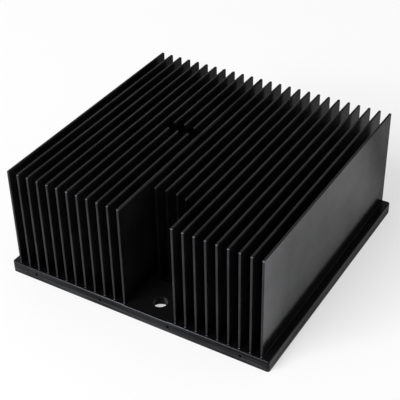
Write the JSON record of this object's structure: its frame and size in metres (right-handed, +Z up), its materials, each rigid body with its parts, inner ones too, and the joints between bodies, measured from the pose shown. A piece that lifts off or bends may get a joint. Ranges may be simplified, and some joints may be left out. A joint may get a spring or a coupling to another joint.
{
  "type": "skived fin heat sink",
  "caption": "Flat-based aluminium heat sink: thin upright skived fins on a square base, a milled front pocket over a bolt hole, and a bare flange along each side.",
  "frame": {"origin": "middle of the base's underside", "axes": "+X across the fins, to the right as seen from the front; +Y along the fins, towards the back; +Z up, from the base to the fin tips"},
  "size_m": [0.128, 0.123, 0.054],
  "materials": {
    "black_anodised_aluminium": "black anodised, satin"
  },
  "bodies": {
    "root": {"heat_sink": "black_anodised_aluminium"}
  },
  "joints": []
}
